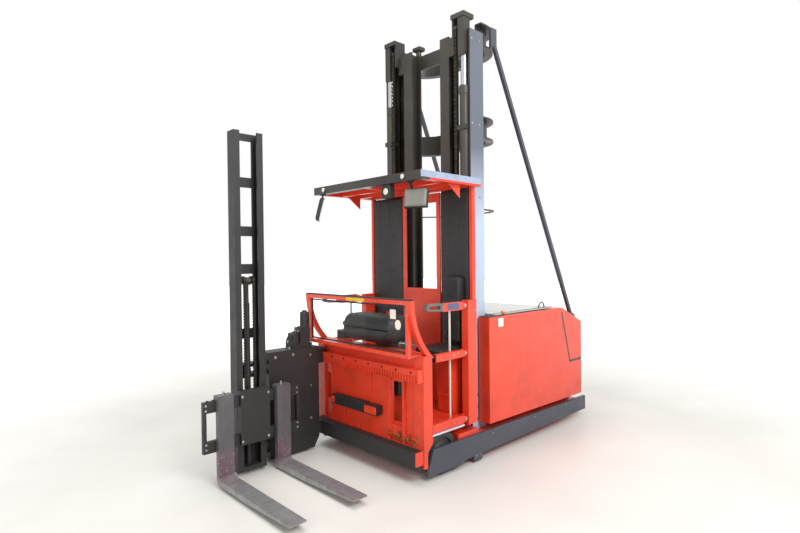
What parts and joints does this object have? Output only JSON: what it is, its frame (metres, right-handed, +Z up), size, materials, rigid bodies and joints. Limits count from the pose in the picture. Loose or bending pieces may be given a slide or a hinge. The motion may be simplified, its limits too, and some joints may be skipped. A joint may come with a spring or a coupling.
{
  "type": "man-up turret order picker truck",
  "caption": "Order picker truck with a cab that rises on a two-stage mast, side gates, a traversing turret head, its own short lift mast and two forks.",
  "frame": {"origin": "floor level under the middle of the truck's length and width", "axes": "+X forwards, towards the cab front and the forks, +Y to the truck's left, +Z up"},
  "size_m": [3.827, 1.42, 3.94],
  "materials": {
    "red_paint": "semi-gloss paint with wear",
    "charcoal_paint": "satin paint",
    "mast_paint": "greased satin paint",
    "head_paint": "matt paint",
    "grey_plastic": "fine texture",
    "black_plastic": "fine texture",
    "steel": "worn",
    "chrome": "polished",
    "tyre": "polyurethane",
    "glass": "clear",
    "padding": "black covering",
    "rubber": "satin"
  },
  "bodies": {
    "chassis": {"chassis_frame": "red_paint", "skirt_left": "charcoal_paint", "skirt_right": "charcoal_paint", "body_shell": "red_paint", "battery": "black_plastic", "outer_mast": "mast_paint", "mast_ties": "mast_paint", "mast_stays": "mast_paint", "lift_barrels": "mast_paint", "centre_pole": "mast_paint"},
    "battery_cover": {"battery_cover": "grey_plastic"},
    "load_wheel_left": {"load_wheel_left": "tyre"},
    "load_wheel_right": {"load_wheel_right": "tyre"},
    "steering": {"steering_yoke": "mast_paint"},
    "drive_wheel": {"drive_wheel": "tyre"},
    "inner_mast": {"inner_mast": "mast_paint", "lift_rods": "chrome", "crossheads": "mast_paint", "mast_chains": "steel"},
    "cab": {"cab_carriage": "mast_paint", "cab_platform": "red_paint", "cab_front": "red_paint", "window_frame": "red_paint", "front_glass": "glass", "cab_back": "padding", "rear_posts": "red_paint", "overhead_guard": "red_paint", "head_lamps": "steel", "mirrors": "black_plastic", "seat": "padding", "console": "black_plastic", "upper_rail": "red_paint", "lower_rail": "head_paint", "energy_chain": "head_paint"},
    "head": {"traverse_arm": "head_paint", "valve_block": "head_paint", "head_hoses": "rubber"},
    "swivel": {"swivel_mast": "head_paint"},
    "ram": {"swivel_ram": "chrome", "swivel_chains": "steel"},
    "forks": {"fork_carriage": "head_paint", "fork_front": "steel", "fork_rear": "steel"},
    "gate_top_left": {"gate_top_left": "red_paint"},
    "gate_mid_left": {"gate_mid_left": "red_paint"},
    "gate_low_left": {"gate_low_left": "red_paint"},
    "gate_link_left": {"gate_link_left": "grey_plastic"},
    "gate_top_right": {"gate_top_right": "red_paint"},
    "gate_mid_right": {"gate_mid_right": "red_paint"},
    "gate_low_right": {"gate_low_right": "red_paint"},
    "gate_link_right": {"gate_link_right": "grey_plastic"}
  },
  "joints": [
    {"name": "load_wheel_left_spin", "type": "hinge", "parent": "chassis", "child": "load_wheel_left", "pos_m": [0.4065, 0.6065, 0.1775], "axis": [0, 1, 0], "continuous": true},
    {"name": "load_wheel_right_spin", "type": "hinge", "parent": "chassis", "child": "load_wheel_right", "pos_m": [0.4065, -0.6065, 0.1775], "axis": [0, 1, 0], "continuous": true},
    {"name": "steer", "type": "hinge", "parent": "chassis", "child": "steering", "pos_m": [-1.5535, 0, 0.18], "axis": [0, 0, 1], "range_deg": [-90, 90]},
    {"name": "drive_wheel_spin", "type": "hinge", "parent": "steering", "child": "drive_wheel", "pos_m": [-1.5535, 0, 0.18], "axis": [0, 1, 0], "continuous": true},
    {"name": "cover_lift", "type": "hinge", "parent": "chassis", "child": "battery_cover", "pos_m": [-0.8685, -0.631, 1.232], "axis": [1, 0, 0], "range_deg": [0, 40]},
    {"name": "mast_lift", "type": "slide", "parent": "chassis", "child": "inner_mast", "axis": [0, 0, 1], "range_m": [0, 2.4]},
    {"name": "cab_lift", "type": "slide", "parent": "inner_mast", "child": "cab", "axis": [0, 0, 1], "range_m": [0, 2.4]},
    {"name": "head_traverse", "type": "slide", "parent": "cab", "child": "head", "axis": [0, 1, 0], "range_m": [0, 1.24]},
    {"name": "head_swivel", "type": "hinge", "parent": "head", "child": "swivel", "pos_m": [1.4865, -0.63, 0.5], "axis": [0, 0, 1], "range_deg": [-180, 0]},
    {"name": "fork_lift", "type": "slide", "parent": "swivel", "child": "forks", "axis": [0, 0, 1], "range_m": [0, 1.8]},
    {"name": "ram_lift", "type": "slide", "parent": "swivel", "child": "ram", "axis": [0, 0, 1], "range_m": [0, 0.9]},
    {"name": "gate_top_left_lift", "type": "hinge", "parent": "cab", "child": "gate_top_left", "pos_m": [0.1385, 0.672, 1.355], "axis": [0, -1, 0], "range_deg": [0, 75]},
    {"name": "gate_mid_left_lift", "type": "hinge", "parent": "cab", "child": "gate_mid_left", "pos_m": [0.1385, 0.672, 0.955], "axis": [0, -1, 0], "range_deg": [0, 75]},
    {"name": "gate_low_left_lift", "type": "hinge", "parent": "cab", "child": "gate_low_left", "pos_m": [0.1385, 0.672, 0.402], "axis": [0, -1, 0], "range_deg": [0, 75]},
    {"name": "gate_link_left_turn", "type": "hinge", "parent": "gate_top_left", "child": "gate_link_left", "pos_m": [0.2885, 0.672, 1.355], "axis": [0, -1, 0], "range_deg": [-75, 0]},
    {"name": "gate_top_right_lift", "type": "hinge", "parent": "cab", "child": "gate_top_right", "pos_m": [0.1385, -0.672, 1.355], "axis": [0, -1, 0], "range_deg": [0, 75]},
    {"name": "gate_mid_right_lift", "type": "hinge", "parent": "cab", "child": "gate_mid_right", "pos_m": [0.1385, -0.672, 0.955], "axis": [0, -1, 0], "range_deg": [0, 75]},
    {"name": "gate_low_right_lift", "type": "hinge", "parent": "cab", "child": "gate_low_right", "pos_m": [0.1385, -0.672, 0.402], "axis": [0, -1, 0], "range_deg": [0, 75]},
    {"name": "gate_link_right_turn", "type": "hinge", "parent": "gate_top_right", "child": "gate_link_right", "pos_m": [0.2885, -0.672, 1.355], "axis": [0, -1, 0], "range_deg": [-75, 0]}
  ],
  "couplings": [
    {"joint": "cab_lift", "follows": "mast_lift", "ratio": 1},
    {"joint": "ram_lift", "follows": "fork_lift", "ratio": 0.5},
    {"joint": "gate_mid_left_lift", "follows": "gate_top_left_lift", "ratio": 1},
    {"joint": "gate_low_left_lift", "follows": "gate_top_left_lift", "ratio": 1},
    {"joint": "gate_link_left_turn", "follows": "gate_top_left_lift", "ratio": -1},
    {"joint": "gate_mid_right_lift", "follows": "gate_top_right_lift", "ratio": 1},
    {"joint": "gate_low_right_lift", "follows": "gate_top_right_lift", "ratio": 1},
    {"joint": "gate_link_right_turn", "follows": "gate_top_right_lift", "ratio": -1}
  ]
}
